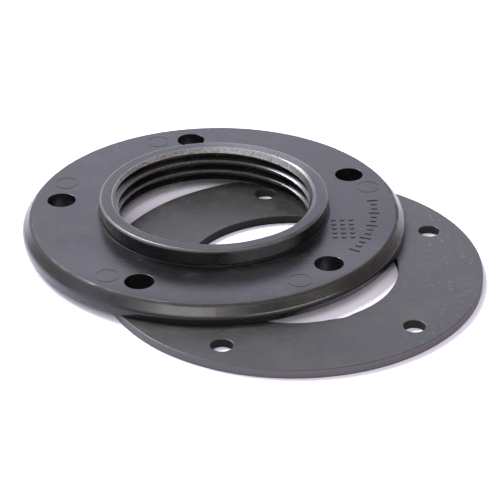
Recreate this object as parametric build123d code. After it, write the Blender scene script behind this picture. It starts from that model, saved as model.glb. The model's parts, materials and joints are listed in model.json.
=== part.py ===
"""Threaded toilet flange with its loose gasket, in millimetres.

The origin is on the thread axis, on the flange's underside, and +Z points out of the collar.
The gasket lies under the flange, out of register with it, and slides into place along one line.
"""

from build123d import *
from build123d.topology import SkipClean

import os
from math import cos, radians, sin, tan

# Plate: a round disc with a short upright rim and a bevel above it
RIM_R = 39.0
RIM_H = 1.6
FACE_R = 37.2
PLATE_T = 3.7
RIM_FOOT_ROUND = 0.25
RIM_TOP_ROUND = 1.4
FACE_EDGE_ROUND = 0.7

# Collar: stands on the plate, a little narrower at its foot than at its top
COLLAR_BASE_R = 23.05
COLLAR_TOP_R = 23.3
TOTAL_H = 7.35
COLLAR_FOOT_ROUND = 0.25
COLLAR_TOP_ROUND = 0.6

# Pipe thread G 1 1/4 (parallel, 11 threads per inch, 55 degree flanks), with a lead-in chamfer
THREAD_MAJOR_R = 41.910 / 2
THREAD_MINOR_R = 38.952 / 2
THREAD_PITCH = 25.4 / 11
FLANK_HALF_ANGLE = 27.5
ROOT_FLAT = THREAD_PITCH / 6
CREST_ROUND = 0.12
ROOT_ROUND = 0.12
CUTTER_OVERLAP = 0.4
CREST_AT_BACK_Z = 4.5
THREAD_TURNS = 5
LEAD_IN_R = 20.6
LEAD_IN_H = 1.4
LEAD_IN_EDGE_ROUND = 0.12

# How far a cutter runs out past the faces that it goes through
CUTTER_RUN_OUT = 1.0

# Five screw holes on one circle, the same pattern in the flange and the gasket
SCREW_COUNT = 5
SCREW_PCD = 63.4
FIRST_SCREW_ANGLE = 26.5
FLANGE_HOLE_R = 2.9
FLANGE_HOLE_EDGE_ROUND = 0.08
GASKET_HOLE_R = 2.15

# Ejector pin marks: a thin raised ring of flash round each pin's end, on the plate's face
EJECTOR_R = 2.4
EJECTOR_RING_W = 0.22
EJECTOR_RING_H = 0.05
EJECTOR_CIRCLE_R = 33.1
EJECTOR_ANGLES = (15.2, 111.0, 157.4, 230.7, 299.5)

# Generic moulder's marks: a block of pips and an arc of graduation ticks
MARK_H = 0.12
MARK_SINK = 0.1
PIP_R = 0.5
PIP_COLUMNS = 3
PIP_ROWS = 5
PIP_STEP = 1.75
PIP_BLOCK_CENTRE = (25.8, -8.6)
TICK_COUNT = 13
TICK_CIRCLE_R = 32.6
TICK_FIRST_ANGLE = 5.0
TICK_STEP_ANGLE = -3.1
TICK_W = 0.5
TICK_SHORT = 1.2
TICK_LONG = 2.2
TICKS_PER_LONG = 3

# Gasket: a flat ring, displaced from the flange's axis as it lies
GASKET_R = 37.6
GASKET_BORE_R = 20.9
GASKET_T = 1.8
GASKET_OFFSET = (15.3, -17.4)


def polar(radius, angle):
    """Point at this radius and this angle in degrees from +X."""
    return (radius * cos(radians(angle)), radius * sin(radians(angle)))


def screw_points():
    """Centres of the screw holes about the pattern's own axis."""
    step = 360 / SCREW_COUNT
    return [polar(SCREW_PCD / 2, FIRST_SCREW_ANGLE + step * i) for i in range(SCREW_COUNT)]


def turned_blank():
    """Plate and collar as one turned ring, before the thread is cut."""
    outline = FilletPolyline(
        (THREAD_MINOR_R, 0, 0),
        (RIM_R, 0, 0),
        (RIM_R, 0, RIM_H),
        (FACE_R, 0, PLATE_T),
        (COLLAR_BASE_R, 0, PLATE_T),
        (COLLAR_TOP_R, 0, TOTAL_H),
        (LEAD_IN_R, 0, TOTAL_H),
        (THREAD_MINOR_R, 0, TOTAL_H - LEAD_IN_H),
        radius=[
            0,
            RIM_FOOT_ROUND,
            RIM_TOP_ROUND,
            FACE_EDGE_ROUND,
            COLLAR_FOOT_ROUND,
            COLLAR_TOP_ROUND,
            LEAD_IN_EDGE_ROUND,
            0,
        ],
        close=True,
    )
    return revolve(make_face(outline), Axis.Z)


def groove_section():
    """Cross-section of the thread groove, x outwards from the crest and y along the axis."""
    depth = THREAD_MAJOR_R - THREAD_MINOR_R
    root_half = ROOT_FLAT / 2
    mouth_half = root_half + depth * tan(radians(FLANK_HALF_ANGLE))
    outline = FilletPolyline(
        (-CUTTER_OVERLAP, -mouth_half),
        (0, -mouth_half),
        (depth, -root_half),
        (depth, root_half),
        (0, mouth_half),
        (-CUTTER_OVERLAP, mouth_half),
        radius=[0, CREST_ROUND, ROOT_ROUND, ROOT_ROUND, CREST_ROUND, 0],
        close=True,
    )
    return make_face(outline)


def thread_groove():
    """Right-hand helical cutter that runs out through both ends of the bore."""
    groove_at_back_z = CREST_AT_BACK_Z + THREAD_PITCH / 2
    turns_below = (THREAD_TURNS + 1) // 2
    start_z = groove_at_back_z - THREAD_PITCH / 4 - turns_below * THREAD_PITCH
    path = Helix(
        pitch=THREAD_PITCH,
        height=THREAD_TURNS * THREAD_PITCH,
        radius=THREAD_MINOR_R,
        center=(0, 0, start_z),
    )
    plane = Plane(origin=path @ 0, x_dir=(1, 0, 0), z_dir=-(path % 0))
    return sweep(plane * groove_section(), path=path, is_frenet=True)


def upright_cutter(radius, low, high):
    """A cylinder that runs out past two heights."""
    height = high - low + 2 * CUTTER_RUN_OUT
    blank = Cylinder(radius, height, align=(Align.CENTER, Align.CENTER, Align.MIN))
    return Pos(0, 0, low - CUTTER_RUN_OUT) * blank


def through_holes(radius, low, high):
    """Cutters for the screw holes, through what lies between two heights."""
    cutter = upright_cutter(radius, low, high)
    return [Pos(x, y, 0) * cutter for x, y in screw_points()]


def round_screw_hole_mouths(flange):
    """Break the edge of each screw hole on the plate's face."""
    mouths = [
        edge
        for edge in flange.edges().filter_by(GeomType.CIRCLE)
        if abs(edge.radius - FLANGE_HOLE_R) < 0.01 and abs(edge.center().Z - PLATE_T) < 0.01
    ]
    return fillet(mouths, FLANGE_HOLE_EDGE_ROUND)


def ejector_marks():
    """Thin raised rings on the plate's face."""
    base = (Align.CENTER, Align.CENTER, Align.MIN)
    height = MARK_SINK + EJECTOR_RING_H
    ring = Cylinder(EJECTOR_R, height, align=base)
    ring = ring - Cylinder(EJECTOR_R - EJECTOR_RING_W, height, align=base)
    low = PLATE_T - MARK_SINK
    return [Pos(*polar(EJECTOR_CIRCLE_R, angle), low) * ring for angle in EJECTOR_ANGLES]


def pip_block():
    """Rows of raised pips on the plate's face."""
    base = (Align.CENTER, Align.CENTER, Align.MIN)
    pip = Cylinder(PIP_R, MARK_SINK + MARK_H, align=base)
    pips = []
    for column in range(PIP_COLUMNS):
        for row in range(PIP_ROWS):
            x = PIP_BLOCK_CENTRE[0] + (column - (PIP_COLUMNS - 1) / 2) * PIP_STEP
            y = PIP_BLOCK_CENTRE[1] + (row - (PIP_ROWS - 1) / 2) * PIP_STEP
            pips.append(Pos(x, y, PLATE_T - MARK_SINK) * pip)
    return pips


def graduation_ticks():
    """An arc of short raised ticks, every third one longer."""
    base = (Align.CENTER, Align.CENTER, Align.MIN)
    ticks = []
    for i in range(TICK_COUNT):
        length = TICK_LONG if i % TICKS_PER_LONG == 0 else TICK_SHORT
        angle = TICK_FIRST_ANGLE + i * TICK_STEP_ANGLE
        tick = Box(length, TICK_W, MARK_SINK + MARK_H, align=base)
        x, y = polar(TICK_CIRCLE_R, angle)
        ticks.append(Pos(x, y, PLATE_T - MARK_SINK) * Rot(0, 0, angle) * tick)
    return ticks


def divided_at_yz(solid):
    """The same solid with its faces divided at the YZ plane, so that no crest face makes a full turn."""
    left, right = solid.split(Plane.YZ, keep=Keep.BOTH)
    with SkipClean():
        return left.fuse(right)


def make_flange():
    """The moulded flange: plate, collar, thread, screw holes and mould marks."""
    flange = turned_blank()
    flange = flange - through_holes(FLANGE_HOLE_R, 0, PLATE_T)
    flange = round_screw_hole_mouths(flange)
    flange = flange + ejector_marks() + pip_block() + graduation_ticks()
    flange = flange - thread_groove()
    return divided_at_yz(flange)


def make_gasket():
    """The punched ring, its top face level with the flange's underside."""
    base = (Align.CENTER, Align.CENTER, Align.MIN)
    ring = Pos(0, 0, -GASKET_T) * Cylinder(GASKET_R, GASKET_T, align=base)
    ring = ring - upright_cutter(GASKET_BORE_R, -GASKET_T, 0)
    ring = ring - through_holes(GASKET_HOLE_R, -GASKET_T, 0)
    return Pos(*GASKET_OFFSET, 0) * ring


def main():
    """Write each piece to its own STEP file."""
    os.makedirs("parts", exist_ok=True)
    for name, piece in (("flange", make_flange()), ("gasket", make_gasket())):
        export_step(piece, f"parts/{name}.step")


main()
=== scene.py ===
import json
import math

import bmesh
import bpy
from mathutils import Matrix, Vector, noise


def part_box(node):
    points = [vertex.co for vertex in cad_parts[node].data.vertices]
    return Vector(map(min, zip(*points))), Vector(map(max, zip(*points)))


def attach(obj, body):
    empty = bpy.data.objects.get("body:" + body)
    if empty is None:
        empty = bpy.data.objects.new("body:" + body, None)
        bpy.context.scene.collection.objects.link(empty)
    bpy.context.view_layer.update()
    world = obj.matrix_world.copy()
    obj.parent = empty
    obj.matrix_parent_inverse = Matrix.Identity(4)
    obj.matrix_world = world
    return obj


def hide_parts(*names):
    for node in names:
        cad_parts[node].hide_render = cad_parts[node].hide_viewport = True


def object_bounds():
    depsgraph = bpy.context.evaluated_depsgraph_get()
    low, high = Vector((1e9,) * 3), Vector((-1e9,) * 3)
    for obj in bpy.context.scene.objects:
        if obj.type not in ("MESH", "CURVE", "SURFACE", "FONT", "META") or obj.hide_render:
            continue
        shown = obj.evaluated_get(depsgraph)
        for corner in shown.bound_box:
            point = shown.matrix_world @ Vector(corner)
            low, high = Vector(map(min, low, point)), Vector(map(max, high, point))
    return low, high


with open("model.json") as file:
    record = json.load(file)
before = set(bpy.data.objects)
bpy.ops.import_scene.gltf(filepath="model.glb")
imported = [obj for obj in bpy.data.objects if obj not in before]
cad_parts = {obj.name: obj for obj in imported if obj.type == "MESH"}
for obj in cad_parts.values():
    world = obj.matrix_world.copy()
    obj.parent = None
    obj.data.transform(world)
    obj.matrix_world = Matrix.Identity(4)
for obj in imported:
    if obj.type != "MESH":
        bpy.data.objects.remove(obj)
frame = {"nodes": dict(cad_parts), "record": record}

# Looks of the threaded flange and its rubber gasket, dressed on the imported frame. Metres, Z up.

MM = 0.001
CAD_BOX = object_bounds()
MOUNTS = {mount["name"]: mount for mount in frame["record"]["mounts"]}

# Heights and radii of the flange that its wear follows, in millimetres
FACE_EDGE_R = 37.2
FACE_Z = 3.7
COLLAR_R = 23.3
COLLAR_Z = 7.35
LEAD_IN_R = 20.6
LEAD_IN_LOW_Z = 5.95
CREST_R = 19.48
RIM_TOP_Z = 0.9
THREAD_TOP_Z = 5.7

# Moulded plastic: its own black, what lies on it where it is handled, and painted light on its
# lead-in, crests and collar top
PLASTIC = (0.0030, 0.0031, 0.0038, 1)
PLASTIC_PALE = (0.0044, 0.0044, 0.0052, 1)
WALL_DUST = (0.040, 0.038, 0.042, 1)
# Scuffed plastic, also painted light where the lead-in and crests get too little lamp light
SCUFF_AND_PAINTED_LIGHT = (0.180, 0.170, 0.165, 1)
# Colour of the painted highlight on the lead-in and collar top
LEAD_IN_HIGHLIGHT_PAINT = (0.17, 0.167, 0.167, 1)
RUBBED_EDGE = (0.024, 0.021, 0.019, 1)
RUBBED_RIM = (0.090, 0.089, 0.080, 1)
SCRATCHED = (0.10, 0.10, 0.10, 1)
DUST = (0.13, 0.125, 0.115, 1)
STAIN = (0.022, 0.021, 0.014, 1)

# Rubber sheet
RUBBER = (0.0070, 0.0073, 0.0066, 1)
RUBBER_PALE = (0.0120, 0.0124, 0.0110, 1)
BLOOM = (0.020, 0.0205, 0.019, 1)
# Pale cut rubber, put on the outer cut edge only, where it also stands in for light from the bright
# table in front
CUT_RUBBER_AND_LIGHT = (0.082, 0.078, 0.087, 1)

# Table
TABLE = (0.62, 0.603, 0.685, 1)
TABLE_PALE = (0.64, 0.623, 0.705, 1)
TABLE_R = 4.0
TABLE_SIDES = 96

# Studio, seen from the object: radiance where a white table comes out at one or more
LIGHT_DISTANCE = 1.2
ROOM = (0.50, 0.43, 0.38)
BACKDROP_LOW = (1.78, 1.77, 2.14)
BACKDROP_HIGH = (0.88, 0.88, 1.13)
CEILING = (0.85, 0.80, 0.95)
SIDE = (0.85, 0.77, 0.80)
GLOW = (3.3, 3.2, 3.2)

# Camera: where it stands as seen from the object, in degrees and millimetres
VIEW_AZIMUTH = -91.05
VIEW_ELEVATION = 29.88
VIEW_ROLL = -0.544
VIEW_DISTANCE = 444.7
VIEW_SHIFT = (0.12, -2.33, -2.78)
LENS = 159.7
SENSOR = 36

# The gasket as it was punched, in millimetres and degrees
FIRST_SCREW_ANGLE = 26.5
EDGE_ROUND = 0.07
EDGE_STEPS = 3
PATTERN_SHIFT = (0.2, -0.5)
PATTERN_SHRINK = 0.3
NICK_ANGLE = -64.0
NICK_DEPTH = 0.35
NICK_WIDTH = 1.6
OUTLINE_WOBBLE = 0.07
SHEET_WAVE = 0.05

# Where its unevenness is read from the noise: the face's scale, and a circle for each border
WAVE_SCALE = 0.09
BORE_NOISE_R = 3.0
RIM_NOISE_R = 5.0
NOISE_LAYER = 7.0

# The gasket's grid: columns round it, and rows from the bore to the rim
COLUMNS_PER_HOLE = 60
PATCH_HALF_COLUMNS = 5
PATCH_ROWS = 10
PATCH_RINGS = 4
ROWS_INSIDE = 10
ROWS_OUTSIDE = 3
HOLDING_ROW = 0.1
HOLDING_SHARE = 0.92


def cosine(degrees):
    """Cosine of an angle in degrees."""
    return math.cos(math.radians(degrees))


def direction(azimuth, elevation):
    """Unit vector, azimuth in degrees from +X towards +Y."""
    a, e = math.radians(azimuth), math.radians(elevation)
    return Vector((math.cos(a) * math.cos(e), math.sin(a) * math.cos(e), math.sin(e)))


# ---------------------------------------------------------------- materials

class Tree:
    """A material's nodes, with one short call for each."""

    def __init__(self, name):
        self.material = bpy.data.materials.new(name)
        self.material.use_nodes = True
        self.nodes = self.material.node_tree.nodes
        self.links = self.material.node_tree.links
        self.nodes.clear()
        self.shader = self.add("BsdfPrincipled")
        output = self.add("OutputMaterial")
        self.links.new(self.shader.outputs["BSDF"], output.inputs["Surface"])

    def add(self, kind, **values):
        node = self.nodes.new("ShaderNode" + kind)
        for name, value in values.items():
            setattr(node, name, value)
        return node

    def feed(self, socket, value):
        """Give a socket a link or a plain value."""
        if isinstance(value, bpy.types.NodeSocket):
            self.links.new(value, socket)
        else:
            socket.default_value = value

    def millimetres(self):
        """Position on the object in millimetres, in the frame of the CAD."""
        scale = self.add("VectorMath", operation="SCALE")
        self.links.new(self.add("TexCoord").outputs["Object"], scale.inputs[0])
        scale.inputs["Scale"].default_value = 1 / MM
        return scale.outputs[0]

    def axes(self, place):
        """X, Y and Z of a position."""
        split = self.add("SeparateXYZ")
        self.feed(split.inputs[0], place)
        return split.outputs[0], split.outputs[1], split.outputs[2]

    def stretched(self, place, turn, factors):
        """A position turned about Z by degrees, then scaled along each axis."""
        node = self.add("Mapping", vector_type="POINT")
        self.feed(node.inputs["Vector"], place)
        node.inputs["Rotation"].default_value = (0, 0, math.radians(turn))
        node.inputs["Scale"].default_value = factors
        return node.outputs[0]

    def noise(self, place, scale, detail=3.0, roughness=0.55):
        node = self.add("TexNoise")
        self.feed(node.inputs["Vector"], place)
        node.inputs["Scale"].default_value = scale
        node.inputs["Detail"].default_value = detail
        node.inputs["Roughness"].default_value = roughness
        return node.outputs["Fac"]

    def math(self, operation, a, b=0.0):
        node = self.add("Math", operation=operation)
        self.feed(node.inputs[0], a)
        self.feed(node.inputs[1], b)
        return node.outputs[0]

    def total(self, *values):
        """Sum of values."""
        result = values[0]
        for value in values[1:]:
            result = self.math("ADD", result, value)
        return result

    def both(self, *masks):
        """Product of masks and plain factors."""
        result = masks[0]
        for mask in masks[1:]:
            result = self.math("MULTIPLY", result, mask)
        return result

    def either(self, *masks):
        """The strongest of several masks."""
        result = masks[0]
        for mask in masks[1:]:
            result = self.math("MAXIMUM", result, mask)
        return result

    def span(self, value, low, high, to_low=0.0, to_high=1.0):
        """Map low..high to to_low..to_high with soft ends, held beyond them."""
        node = self.add("MapRange", interpolation_type="SMOOTHSTEP")
        self.feed(node.inputs["Value"], value)
        node.inputs["From Min"].default_value = low
        node.inputs["From Max"].default_value = high
        node.inputs["To Min"].default_value = to_low
        node.inputs["To Max"].default_value = to_high
        return node.outputs["Result"]

    def below(self, value, low, high):
        """One up to a first value, falling softly to nothing at a second."""
        return self.span(value, low, high, 1.0, 0.0)

    def near(self, value, centre, reach):
        """One at a value, falling softly to nothing at this distance from it."""
        away = self.math("ABSOLUTE", self.math("SUBTRACT", value, centre))
        return self.below(away, 0.0, reach)

    def mix(self, factor, a, b):
        node = self.add("Mix", data_type="RGBA")
        self.feed(node.inputs[0], factor)
        self.feed(node.inputs[6], a)
        self.feed(node.inputs[7], b)
        return node.outputs[2]

    def bump(self, height, distance, normal=None):
        """A relief this many millimetres deep, on top of another."""
        node = self.add("Bump")
        self.feed(node.inputs["Height"], height)
        node.inputs["Distance"].default_value = distance * MM
        if normal is not None:
            self.links.new(normal, node.inputs["Normal"])
        return node.outputs["Normal"]


def radius_of(tree, x, y):
    """Distance from an upright axis, given the way from it along X and Y."""
    return tree.math("SQRT", tree.total(tree.math("MULTIPLY", x, x), tree.math("MULTIPLY", y, y)))


def facing(tree, place, azimuth, outer, inner):
    """One within an angle of this azimuth round the axis, softly to nothing at a wider one."""
    x, y, _ = tree.axes(place)
    way = direction(azimuth, 0)
    along = tree.total(tree.math("MULTIPLY", x, way.x), tree.math("MULTIPLY", y, way.y))
    along = tree.math("DIVIDE", along, radius_of(tree, x, y))
    return tree.span(along, cosine(outer), cosine(inner))


def flange_wear_and_light(tree, place):
    """Masks of the flange's rubbed and dusty places, of the places where light is painted, and the
    noises that break them up.
    """
    x, y, z = tree.axes(place)
    radius = radius_of(tree, x, y)
    patchy = tree.noise(place, scale=0.22, detail=2.0, roughness=0.5)
    patchy = tree.span(patchy, 0.25, 0.60, 0.35, 1.0)
    collar_top = tree.span(z, COLLAR_Z - 0.5, COLLAR_Z - 0.15)
    plate_top = tree.span(z, FACE_Z - 0.9, FACE_Z - 0.3)
    lead_in = tree.below(radius, LEAD_IN_R + 0.05, LEAD_IN_R + 0.15)
    wall = tree.both(
        tree.span(radius, COLLAR_R - 0.6, COLLAR_R - 0.4),
        tree.below(radius, COLLAR_R + 0.3, COLLAR_R + 0.6),
        tree.span(z, FACE_Z + 0.3, FACE_Z + 0.8),
        tree.below(z, COLLAR_Z - 0.6, COLLAR_Z - 0.3),
    )
    return {
        "collar_rim": tree.both(tree.near(radius, COLLAR_R - 0.15, 0.45), collar_top, patchy),
        "plate_edge": tree.both(tree.near(radius, FACE_EDGE_R, 0.6), plate_top, patchy),
        "chamfer": tree.both(lead_in, tree.span(z, LEAD_IN_LOW_Z, LEAD_IN_LOW_Z + 0.15)),
        "bevel": tree.both(
            tree.span(radius, FACE_EDGE_R, FACE_EDGE_R + 0.4),
            tree.span(z, RIM_TOP_Z, RIM_TOP_Z + 0.5),
        ),
        "crest": tree.both(
            tree.below(radius, CREST_R + 0.12, CREST_R + 0.34),
            tree.below(z, THREAD_TOP_Z, THREAD_TOP_Z + 0.3),
        ),
        "ring": tree.both(tree.span(z, COLLAR_Z - 0.15, COLLAR_Z - 0.05), 0.35),
        "foot": tree.both(
            tree.near(radius, COLLAR_R, 0.6), tree.below(z, FACE_Z + 0.3, FACE_Z + 0.6)
        ),
        "dusty_wall": tree.both(wall, facing(tree, place, -64, outer=24, inner=8)),
        "scratches": hairlines(tree, place),
        "scuff_and_highlight": tree.noise(place, scale=2.2, detail=4.0, roughness=0.65),
        "smudge": tree.noise(place, scale=0.11, detail=5.0, roughness=0.6),
        "grain": tree.noise(place, scale=2.4, detail=4.0, roughness=0.65),
    }


def radial_streaks(tree, place):
    """Noise that changes only round the axis, as fine lines down the bevel."""
    x, y, _ = tree.axes(place)
    radius = radius_of(tree, x, y)
    round_it = tree.add("CombineXYZ")
    for socket, axis in ((round_it.inputs[0], x), (round_it.inputs[1], y)):
        on_edge = tree.math("MULTIPLY", tree.math("DIVIDE", axis, radius), FACE_EDGE_R)
        tree.links.new(on_edge, socket)
    return tree.noise(round_it.outputs[0], scale=2.2, detail=3.0, roughness=0.6)


def sunk_front(tree, place):
    """The plate's face sinks a little towards the collar on its front side."""
    x, y, _ = tree.axes(place)
    outwards = tree.span(radius_of(tree, x, y), COLLAR_R, FACE_EDGE_R - 0.7)
    return tree.both(outwards, facing(tree, place, -90, outer=69.5, inner=18.2))


def hairlines(tree, place):
    """Sparse fine scratches in two directions."""
    lines = []
    for turn in (24.0, -58.0):
        along = tree.stretched(place, turn, (0.10, 4.5, 1.0))
        streak = tree.noise(along, scale=1.0, detail=2.0, roughness=0.5)
        lines.append(tree.near(streak, 0.5, 0.012))
    where = tree.span(tree.noise(place, scale=0.16), 0.50, 0.66)
    return tree.both(tree.either(*lines), where)


def flange_colour(tree, place, wear_and_light):
    """Black, with scuffs on the lead-in and crests, made paler on the back-left as painted light, a
    painted highlight on the lead-in and collar top, rubbed edges, scratches, dust and stains.
    """
    scuff_and_highlight = wear_and_light["scuff_and_highlight"]
    lead_in = tree.both(wear_and_light["chamfer"], tree.span(scuff_and_highlight, 0.35, 0.65, 0.25, 1.0))
    crests = tree.both(wear_and_light["crest"], tree.span(scuff_and_highlight, 0.25, 0.55, 0.35, 1.0), 0.35)
    # Painted light: the lead-in scuffs and crest lines are pale mostly on the bore's back-left,
    # which the lamps barely light; the crest lines also stand in for highlights on the crests'
    # rounds.
    scuff_and_painted_light = tree.both(
        tree.either(lead_in, crests), facing(tree, place, 125, outer=92.9, inner=60)
    )
    # Painted highlight: pale patchy streaks on the lead-in and collar top towards the back right,
    # where the lamp behind on the left shines into the bore.
    painted_lead_in_highlight = tree.both(
        tree.either(wear_and_light["chamfer"], wear_and_light["ring"]),
        tree.span(scuff_and_highlight, 0.30, 0.66),
        facing(tree, place, 58, outer=43.9, inner=14.1),
    )
    dust = tree.span(tree.noise(place, scale=1.9, detail=2.0, roughness=0.5), 0.735, 0.78)
    stain = tree.span(tree.noise(place, scale=0.16, detail=7.0, roughness=0.72), 0.60, 0.74)

    colour = tree.mix(tree.span(wear_and_light["smudge"], 0.3, 0.7), PLASTIC, PLASTIC_PALE)
    colour = tree.mix(wear_and_light["dusty_wall"], colour, WALL_DUST)
    colour = tree.mix(scuff_and_painted_light, colour, SCUFF_AND_PAINTED_LIGHT)
    colour = tree.mix(painted_lead_in_highlight, colour, LEAD_IN_HIGHLIGHT_PAINT)
    colour = tree.mix(wear_and_light["plate_edge"], colour, RUBBED_EDGE)
    colour = tree.mix(wear_and_light["collar_rim"], colour, RUBBED_RIM)
    colour = tree.mix(tree.both(wear_and_light["scratches"], 0.28), colour, SCRATCHED)
    colour = tree.mix(tree.both(dust, 0.5), colour, DUST)
    return tree.mix(tree.both(stain, 0.5), colour, STAIN)


def flange_roughness(tree, wear_and_light):
    """Glossy where it is untouched, duller where it is handled and worn."""
    return tree.total(
        tree.span(wear_and_light["smudge"], 0.30, 0.72, 0.225, 0.285),
        tree.span(wear_and_light["grain"], 0.4, 0.8, 0.0, 0.008),
        tree.both(wear_and_light["chamfer"], 0.12),
        tree.both(tree.either(wear_and_light["collar_rim"], wear_and_light["foot"]), 0.22),
        tree.both(wear_and_light["plate_edge"], 0.35),
        tree.both(wear_and_light["scratches"], 0.12),
    )


def flange_relief(tree, place, wear_and_light):
    """The sunk face and its slow waves, then grain, streaks, scuffs and scratches."""
    normal = tree.bump(sunk_front(tree, place), 0.60)
    waves = tree.noise(place, scale=0.11, detail=1.5, roughness=0.5)
    normal = tree.bump(waves, 0.010, normal)
    normal = tree.bump(wear_and_light["grain"], 0.0004, normal)
    normal = tree.bump(tree.both(radial_streaks(tree, place), wear_and_light["bevel"]), 0.012, normal)
    normal = tree.bump(tree.both(wear_and_light["scuff_and_highlight"], wear_and_light["chamfer"]), 0.030, normal)
    return tree.bump(tree.both(wear_and_light["scratches"], -1.0), 0.0015, normal)


def flange_plastic():
    """Glossy black moulded plastic, handled, dusty and rubbed along its edges, with painted light
    and a painted highlight in its bore.
    """
    tree = Tree("flange_plastic")
    place = tree.millimetres()
    wear_and_light = flange_wear_and_light(tree, place)
    dull = tree.either(wear_and_light["plate_edge"], wear_and_light["foot"], wear_and_light["collar_rim"])
    shader = tree.shader.inputs
    tree.feed(shader["Base Color"], flange_colour(tree, place, wear_and_light))
    tree.feed(shader["Roughness"], flange_roughness(tree, wear_and_light))
    tree.feed(shader["Specular IOR Level"], tree.span(dull, 0.0, 0.8, 0.5, 0.12))
    tree.feed(shader["Normal"], flange_relief(tree, place, wear_and_light))
    shader["IOR"].default_value = 1.5
    return tree.material


def gasket_rim(tree, x, y):
    """One on the gasket's outer cut edge, nothing inside it."""
    low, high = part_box("gasket")
    middle = (low + high) / 2 / MM
    rim_r = (high.x - low.x) / 2 / MM
    from_x, from_y = tree.math("SUBTRACT", x, middle.x), tree.math("SUBTRACT", y, middle.y)
    return tree.span(radius_of(tree, from_x, from_y), rim_r - 1.0, rim_r - 0.5)


def gasket_rubber():
    """Matt black rubber sheet with bloom, soft mottling and pale specks of dust, and a pale outer
    cut edge that is partly painted light.
    """
    tree = Tree("gasket_rubber")
    place = tree.millimetres()
    x, y, z = tree.axes(place)
    bloom = tree.noise(place, scale=0.10, detail=4.0, roughness=0.6)
    mottle = tree.noise(place, scale=0.8, detail=5.0, roughness=0.65)
    grain = tree.noise(place, scale=6.0, detail=4.0, roughness=0.7)
    cut = tree.below(z, -0.12, -0.06)
    specks = tree.span(tree.noise(place, scale=0.8, detail=5.0, roughness=0.72), 0.58, 0.76)
    dusty_side = tree.span(x, 26.0, 50.0, 0.10, 0.9)

    colour = tree.mix(tree.span(mottle, 0.3, 0.7), RUBBER, RUBBER_PALE)
    colour = tree.mix(tree.span(bloom, 0.45, 0.75, 0.0, 0.35), colour, BLOOM)
    # Painted light in part: only the outer cut edge is paled, standing in for the table's light on
    # it; the bore and hole walls keep the dark rubber.
    colour = tree.mix(tree.both(cut, gasket_rim(tree, x, y)), colour, CUT_RUBBER_AND_LIGHT)
    colour = tree.mix(tree.both(specks, dusty_side), colour, DUST)
    rough = tree.total(tree.span(bloom, 0.3, 0.7, 0.32, 0.42), tree.both(cut, 0.35))
    shine = tree.both(tree.span(x, 0.0, 48.0, 0.38, 0.5), tree.span(cut, 0.0, 1.0, 1.0, 0.5))

    shader = tree.shader.inputs
    tree.feed(shader["Base Color"], colour)
    tree.feed(shader["Roughness"], rough)
    tree.feed(shader["Specular IOR Level"], shine)
    tree.feed(shader["Normal"], tree.bump(grain, 0.008, tree.bump(mottle, 0.020)))
    shader["IOR"].default_value = 1.5
    return tree.material


def table_white():
    """Smooth white table."""
    tree = Tree("table_white")
    tint = tree.noise(tree.millimetres(), scale=0.01, detail=2.0)
    shader = tree.shader.inputs
    tree.feed(shader["Base Color"], tree.mix(tint, TABLE, TABLE_PALE))
    shader["Roughness"].default_value = 0.6
    return tree.material


# ---------------------------------------------------------------- gasket

def turned(radius, degrees):
    """Point at this radius and angle about the gasket's centre."""
    angle = math.radians(degrees)
    return Vector((radius * math.cos(angle), radius * math.sin(angle)))


class Sheet:
    """The gasket's measures, in millimetres about its own centre, and its mesh as it is made."""

    def __init__(self):
        low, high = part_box("gasket")
        self.centre = Vector(((low.x + high.x) / 2, (low.y + high.y) / 2)) / MM
        self.low = low.z / MM
        self.high = high.z / MM
        self.rim_r = (high.x - low.x) / 2 / MM
        self.bore_r = MOUNTS["gasket_bore"]["dims"]["r_mm"]
        pattern = MOUNTS["gasket_screw_holes"]["dims"]
        self.holes = pattern["count"]
        self.hole_r = pattern["hole_r_mm"]
        self.screw_r = pattern["pcd_mm"] / 2 - PATTERN_SHRINK
        self.columns = COLUMNS_PER_HOLE * self.holes
        self.bm = bmesh.new()

    def top_z(self, point):
        """Height of the upper face, a little uneven and never above the CAD."""
        wave = noise.noise(Vector((point.x, point.y, 0.0)) * WAVE_SCALE)
        return self.high - SHEET_WAVE * (0.5 + 0.5 * wave)

    def vertex(self, point, z):
        place = (point + self.centre) * MM
        return self.bm.verts.new((place.x, place.y, z * MM))


def row_radii(sheet):
    """Radii of the grid's rows, with the screw holes' patches between two of them."""
    half = PATCH_HALF_COLUMNS * 360 / sheet.columns
    reach = sheet.screw_r * math.radians(half)
    inner, outer = sheet.screw_r - reach, sheet.screw_r + reach
    bore, rim = sheet.bore_r + EDGE_ROUND, sheet.rim_r - EDGE_ROUND
    first, last = bore + HOLDING_ROW, rim - HOLDING_ROW
    rows = [bore]
    rows += [first + (inner - first) * i / (ROWS_INSIDE - 1) for i in range(ROWS_INSIDE - 1)]
    rows += [inner + (outer - inner) * i / PATCH_ROWS for i in range(PATCH_ROWS)]
    rows += [outer + (last - outer) * i / (ROWS_OUTSIDE - 1) for i in range(ROWS_OUTSIDE)]
    return rows + [rim]


def cut_profile(sheet):
    """The rounded cut edge from top to bottom: step out from the face's border, and height."""
    upper_z, upper = sheet.high - SHEET_WAVE, []
    for i in range(1, EDGE_STEPS + 1):
        a = math.radians(90 * i / EDGE_STEPS)
        upper.append((EDGE_ROUND * math.sin(a), upper_z - EDGE_ROUND * (1 - math.cos(a))))
    lower = [(out, sheet.low + upper_z - z) for out, z in reversed(upper)]
    return upper + lower


def border_wobble(angle, noise_r, layer):
    """Unevenness of a punched border, always into the rubber."""
    point = turned(noise_r, angle)
    return OUTLINE_WOBBLE * (0.5 + 0.5 * noise.noise(Vector((point.x, point.y, layer))))


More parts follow.
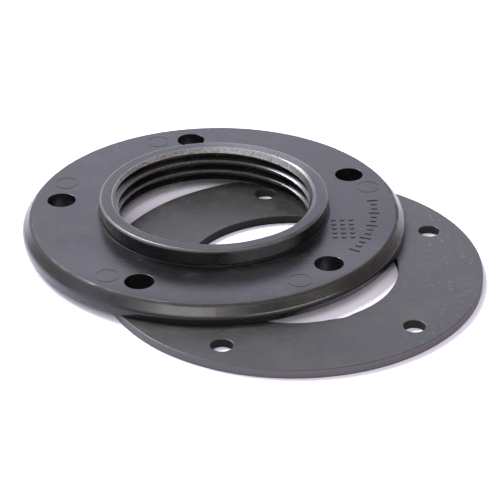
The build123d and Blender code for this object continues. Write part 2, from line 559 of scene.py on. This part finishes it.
def bore_shift(sheet, angle):
    """How far the bore's border lies outside its circle, with one nick in it."""
    along = (angle - NICK_ANGLE) % 360
    along = min(along, 360 - along) * math.radians(1) * sheet.bore_r / NICK_WIDTH
    return border_wobble(angle, BORE_NOISE_R, -NOISE_LAYER) + NICK_DEPTH * math.exp(-along ** 2)


def plane_points(sheet, radii):
    """The grid's points, row by row from the bore out, with uneven borders."""
    grid = []
    last = len(radii) - 1
    for row, radius in enumerate(radii):
        line = []
        for column in range(sheet.columns):
            angle = FIRST_SCREW_ANGLE + 360 * column / sheet.columns
            shift = 0.0
            if row < ROWS_INSIDE:
                shift = bore_shift(sheet, angle) * (1 - row / ROWS_INSIDE)
            elif row > ROWS_INSIDE + PATCH_ROWS:
                share = 1 - (last - row) / ROWS_OUTSIDE
                shift = -border_wobble(angle, RIM_NOISE_R, NOISE_LAYER) * share
            line.append(turned(radius + shift, angle))
        grid.append(line)
    return grid


def patch_border(sheet, hole):
    """Row and column of each point round a hole's patch, anticlockwise from its lower corner."""
    first, last = ROWS_INSIDE, ROWS_INSIDE + PATCH_ROWS
    middle = hole * COLUMNS_PER_HOLE
    left, right = middle - PATCH_HALF_COLUMNS, middle + PATCH_HALF_COLUMNS
    border = [(row, left) for row in range(first, last)]
    border += [(last, column) for column in range(left, right)]
    border += [(row, right) for row in range(last, first, -1)]
    border += [(first, column) for column in range(right, left, -1)]
    return [(row, column % sheet.columns) for row, column in border]


def inside_patch(row, column):
    """Whether the grid's cell at this row and column belongs to a screw hole's patch."""
    place = (column + PATCH_HALF_COLUMNS) % COLUMNS_PER_HOLE
    return place < 2 * PATCH_HALF_COLUMNS and ROWS_INSIDE <= row < ROWS_INSIDE + PATCH_ROWS


def lay_out(sheet):
    """Points of the flat face, its quads, and its closed borders with the way out of the rubber."""
    radii = row_radii(sheet)
    points = [point for line in plane_points(sheet, radii) for point in line]
    columns = sheet.columns
    last = len(radii) - 1

    def index(row, column):
        return row * columns + column % columns

    quads = []
    for row in range(last):
        for column in range(columns):
            if not inside_patch(row, column):
                right = column + 1
                corners = ((row, column), (row + 1, column), (row + 1, right), (row, right))
                quads.append([index(*corner) for corner in corners])
    bore = [index(0, column) for column in range(columns)]
    rim = [index(last, column) for column in reversed(range(columns))]
    borders = [(bore, [-points[i].normalized() for i in bore])]
    borders.append((rim, [points[i].normalized() for i in rim]))
    for hole in range(sheet.holes):
        outer = [index(*at) for at in patch_border(sheet, hole)]
        borders.append(add_hole(sheet, points, quads, outer, hole))
    return points, quads, borders


def add_hole(sheet, points, quads, outer, hole):
    """Rings of quads from a patch's border in to its screw hole, which isn't quite central."""
    middle = turned(sheet.screw_r, FIRST_SCREW_ANGLE + 360 * hole / sheet.holes)
    centre = middle + Vector(PATTERN_SHIFT)
    ways = [(points[i] - middle).normalized() for i in outer]
    shares = [HOLDING_SHARE * step / (PATCH_RINGS - 1) for step in range(1, PATCH_RINGS)]
    rings = [outer]
    for share in shares + [1.0]:
        ring = []
        for i, way in zip(outer, ways):
            goal = centre + way * (sheet.hole_r + EDGE_ROUND)
            ring.append(len(points))
            points.append(points[i].lerp(goal, share))
        rings.append(ring)
    for near, far in zip(rings[1:], rings):
        for i in range(len(outer)):
            j = (i + 1) % len(outer)
            quads.append([far[i], near[i], near[j], far[j]])
    return rings[-1], [-way for way in ways]


def add_cut_edge(sheet, points, upper, lower, border, ways):
    """Join both faces along one border by a rounded cut edge."""
    rings = [[upper[i] for i in border]]
    for out, z in cut_profile(sheet):
        rings.append([sheet.vertex(points[i] + way * out, z) for i, way in zip(border, ways)])
    rings.append([lower[i] for i in border])
    for above, below in zip(rings, rings[1:]):
        for i in range(len(border)):
            j = (i + 1) % len(border)
            sheet.bm.faces.new([above[i], above[j], below[j], below[i]])


def gasket_mesh():
    """The punched ring: two faces joined by rounded cut edges, all in quads."""
    sheet = Sheet()
    points, quads, borders = lay_out(sheet)
    upper = [sheet.vertex(point, sheet.top_z(point)) for point in points]
    lower = [sheet.vertex(point, sheet.low) for point in points]
    for quad in quads:
        sheet.bm.faces.new([upper[i] for i in quad])
        sheet.bm.faces.new([lower[i] for i in reversed(quad)])
    for border, ways in borders:
        add_cut_edge(sheet, points, upper, lower, border, ways)
    bmesh.ops.recalc_face_normals(sheet.bm, faces=sheet.bm.faces)
    mesh = bpy.data.meshes.new("gasket_sheet")
    sheet.bm.to_mesh(mesh)
    sheet.bm.free()
    for polygon in mesh.polygons:
        polygon.use_smooth = True
    return mesh


def build_gasket():
    """The rubber ring as one piece in the CAD ring's place."""
    mesh = gasket_mesh()
    mesh.materials.append(gasket_rubber())
    piece = bpy.data.objects.new("gasket_sheet", mesh)
    bpy.context.scene.collection.objects.link(piece)
    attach(piece, "gasket")
    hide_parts("gasket")


# ---------------------------------------------------------------- setting

def build_floor():
    """A round pale table under the gasket."""
    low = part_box("gasket")[0]
    mesh = bpy.data.meshes.new("table")
    bm = bmesh.new()
    bmesh.ops.create_circle(
        bm, cap_ends=True, cap_tris=False, segments=TABLE_SIDES, radius=TABLE_R
    )
    bm.to_mesh(mesh)
    bm.free()
    mesh.materials.append(table_white())
    table = bpy.data.objects.new("table", mesh)
    table.location.z = low.z
    bpy.context.scene.collection.objects.link(table)


class Sky:
    """The studio round the object, as a colour for each direction."""

    def __init__(self):
        world = bpy.data.worlds.new("studio")
        bpy.context.scene.world = world
        world.use_nodes = True
        self.nodes, self.links = world.node_tree.nodes, world.node_tree.links
        self.nodes.clear()
        self.ray = self.nodes.new("ShaderNodeTexCoord").outputs["Generated"]

    def blend(self, far, close, towards, outer, inner):
        """One colour beyond an angle from a direction, another within a smaller one."""
        dot = self.nodes.new("ShaderNodeVectorMath")
        dot.operation = "DOT_PRODUCT"
        self.links.new(self.ray, dot.inputs[0])
        dot.inputs[1].default_value = towards
        ramp = self.nodes.new("ShaderNodeMapRange")
        ramp.interpolation_type = "SMOOTHSTEP"
        ramp.inputs["From Min"].default_value = cosine(outer)
        ramp.inputs["From Max"].default_value = cosine(inner)
        self.links.new(dot.outputs["Value"], ramp.inputs["Value"])
        mix = self.nodes.new("ShaderNodeMix")
        mix.data_type = "RGBA"
        self.links.new(ramp.outputs["Result"], mix.inputs[0])
        for socket, colour in ((mix.inputs[6], far), (mix.inputs[7], close)):
            if isinstance(colour, bpy.types.NodeSocket):
                self.links.new(colour, socket)
            else:
                socket.default_value = (*colour, 1)
        return mix.outputs[2]

    def show(self, colour):
        background = self.nodes.new("ShaderNodeBackground")
        output = self.nodes.new("ShaderNodeOutputWorld")
        self.links.new(colour, background.inputs["Color"])
        self.links.new(background.outputs[0], output.inputs["Surface"])


def build_world():
    """A dim warm room, a backdrop that fades upwards, a grey left, a pale ceiling and a glow."""
    sky = Sky()
    up = direction(0, 90)
    backdrop = sky.blend(BACKDROP_LOW, BACKDROP_HIGH, up, outer=67, inner=50)
    colour = sky.blend(ROOM, backdrop, direction(130, 0), outer=93, inner=73)
    colour = sky.blend(colour, SIDE, direction(155, 6), outer=32, inner=14)
    colour = sky.blend(colour, CEILING, up, outer=36, inner=22)
    colour = sky.blend(colour, GLOW, direction(-112, 50), outer=34, inner=0)
    sky.show(colour)


def softbox(name, towards, width, height, radiance, colour):
    """A rectangular light in a direction, as wide and high as seen from the object in degrees."""
    light = bpy.data.lights.new(name, "AREA")
    light.shape = "RECTANGLE"
    light.size = 2 * LIGHT_DISTANCE * math.tan(math.radians(width / 2))
    light.size_y = 2 * LIGHT_DISTANCE * math.tan(math.radians(height / 2))
    light.energy = radiance * math.pi * light.size * light.size_y
    light.color = colour
    lamp = bpy.data.objects.new(name, light)
    lamp.location = towards * LIGHT_DISTANCE
    lamp.rotation_euler = towards.to_track_quat("Z", "Y").to_euler()
    bpy.context.scene.collection.objects.link(lamp)


def build_lights():
    """A strong softbox behind the object and two weak ones in front of it."""
    softbox(
        "back_left", direction(135, 52),
        width=28, height=20, radiance=40.0, colour=(0.98, 0.98, 1.0),
    )
    softbox(
        "left_front", direction(-112, 50),
        width=24, height=12, radiance=3.8, colour=(1.0, 0.97, 0.97),
    )
    softbox(
        "right_front", direction(-45, 29),
        width=54, height=10, radiance=7.0, colour=(1.0, 0.98, 0.98),
    )


def build_camera():
    """The view of the product shot, round the middle of the object."""
    low, high = CAD_BOX
    aim = (low + high) / 2 + Vector(VIEW_SHIFT) * MM
    towards = direction(VIEW_AZIMUTH, VIEW_ELEVATION)
    data = bpy.data.cameras.new("camera")
    data.sensor_width = SENSOR
    data.lens = LENS
    data.clip_start = 0.01
    data.clip_end = 20
    camera = bpy.data.objects.new("camera", data)
    camera.location = aim + towards * VIEW_DISTANCE * MM
    turn = towards.to_track_quat("Z", "Y").to_matrix()
    roll = Matrix.Rotation(math.radians(VIEW_ROLL), 3, "Z")
    camera.rotation_euler = (turn @ roll).to_euler()
    bpy.context.scene.collection.objects.link(camera)
    bpy.context.scene.camera = camera


def dress(node, material):
    """Put a material in all of a CAD node's slots."""
    for material_slot in frame["nodes"][node].material_slots:
        material_slot.material = material


def show_plainly():
    """Plain display transform, so that a white table comes out white."""
    scene = bpy.context.scene
    scene.view_settings.view_transform = "Standard"
    scene.view_settings.look = "None"


show_plainly()
dress("flange", flange_plastic())
build_gasket()
build_floor()
build_world()
build_lights()
build_camera()
